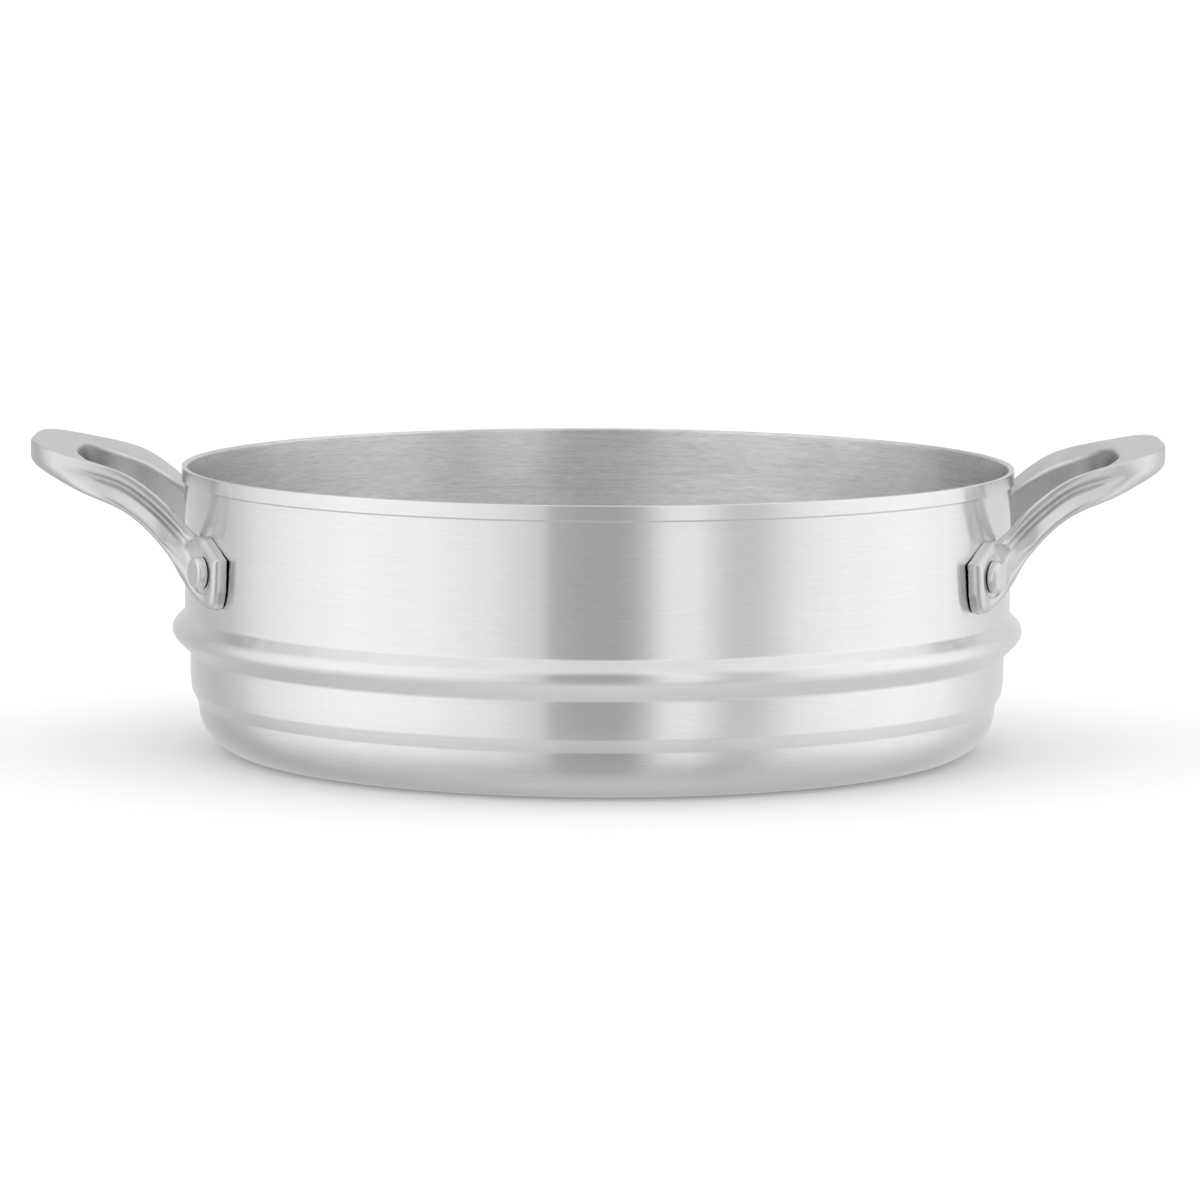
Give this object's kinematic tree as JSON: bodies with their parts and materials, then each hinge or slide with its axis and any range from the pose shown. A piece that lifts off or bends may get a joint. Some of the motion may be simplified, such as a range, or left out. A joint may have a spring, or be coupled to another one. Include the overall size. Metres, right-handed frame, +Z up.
{
  "type": "stainless steel steamer insert",
  "caption": "Round stainless steamer insert: drawn bowl with thickened rim, stop bead, stepped lower drum, perforated base and riveted cast loop handles.",
  "frame": {"origin": "centre of the underside of the base, on the bowl's axis", "axes": "+Z up along the bowl's axis, +X through the middle of the right handle, -Y towards the front"},
  "size_m": [0.3286, 0.2474, 0.0907],
  "materials": {
    "body_sheet": "fine brushing around the bowl, inside and out",
    "handle_casting": "satin cast stainless steel",
    "rivet_steel": "smooth satin stainless steel"
  },
  "bodies": {
    "root": {"steamer_body": "body_sheet", "handle_left": "handle_casting", "handle_right": "handle_casting", "rivet_left_front": "rivet_steel", "rivet_left_back": "rivet_steel", "rivet_right_front": "rivet_steel", "rivet_right_back": "rivet_steel"}
  },
  "joints": []
}
